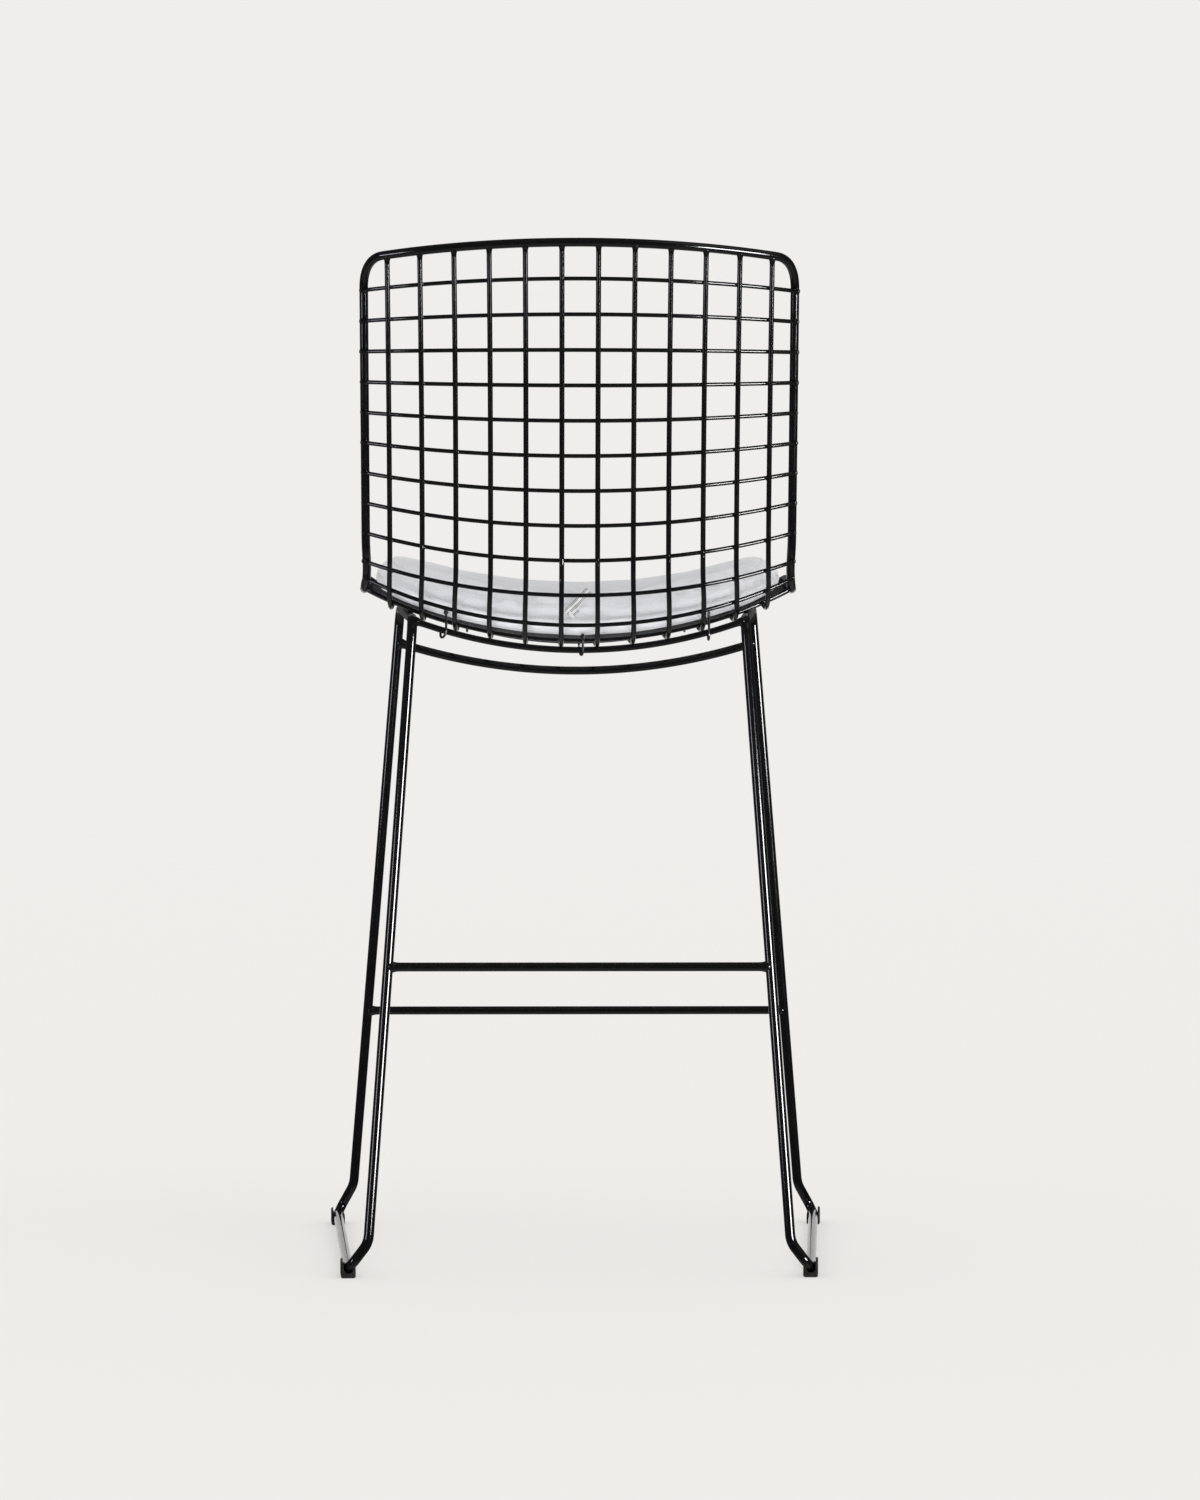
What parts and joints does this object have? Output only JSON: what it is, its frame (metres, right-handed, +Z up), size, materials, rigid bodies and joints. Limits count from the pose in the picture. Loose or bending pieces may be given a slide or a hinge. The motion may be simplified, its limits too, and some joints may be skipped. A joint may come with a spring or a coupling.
{
  "type": "bar stool",
  "caption": "Counter-height wire stool with a dished mesh back and seat, bent rod side frames on runners, a footrest bar and a hooked-on seat pad.",
  "frame": {"origin": "on the floor, under the middle of the stool's outline", "axes": "+Z up, -Y the way the sitter faces, +X the sitter's left"},
  "size_m": [0.531, 0.4852, 1.0007],
  "materials": {
    "enamel": "glossy black enamel over welded steel rod",
    "glide_plastic": "satin black moulded plastic",
    "foam": "cut upholstery foam",
    "cloth": "pale grey fine woven cloth",
    "strap": "woven strap with darker lines",
    "hook_steel": "bent spring wire"
  },
  "bodies": {
    "root": {"shell_rim": "enamel", "upright_wire_01": "enamel", "upright_wire_02": "enamel", "upright_wire_03": "enamel", "upright_wire_04": "enamel", "upright_wire_05": "enamel", "upright_wire_06": "enamel", "upright_wire_07": "enamel", "upright_wire_08": "enamel", "upright_wire_09": "enamel", "upright_wire_10": "enamel", "upright_wire_11": "enamel", "upright_wire_12": "enamel", "cross_wire_01": "enamel", "cross_wire_02": "enamel", "cross_wire_03": "enamel", "cross_wire_04": "enamel", "cross_wire_05": "enamel", "cross_wire_06": "enamel", "cross_wire_07": "enamel", "cross_wire_08": "enamel", "cross_wire_09": "enamel", "cross_wire_10": "enamel", "cross_wire_11": "enamel", "cross_wire_12": "enamel", "cross_wire_13": "enamel", "cross_wire_14": "enamel", "cross_wire_15": "enamel", "cross_wire_16": "enamel", "cross_wire_17": "enamel", "cross_wire_18": "enamel", "cross_wire_19": "enamel", "cross_wire_20": "enamel", "cross_wire_21": "enamel", "left_side_frame": "enamel", "right_side_frame": "enamel", "rear_bearer": "enamel", "front_bearer": "enamel", "rear_stretcher": "enamel", "footrest_bar": "enamel", "rear_left_glide": "glide_plastic", "rear_right_glide": "glide_plastic", "front_left_glide": "glide_plastic", "front_right_glide": "glide_plastic", "pad_foam": "foam", "pad_cover_top": "cloth", "pad_cover_base": "cloth", "pad_strap": "strap", "rear_left_hook": "hook_steel", "rear_middle_hook": "hook_steel", "rear_right_hook": "hook_steel", "front_left_hook": "hook_steel", "front_right_hook": "hook_steel"}
  },
  "joints": []
}
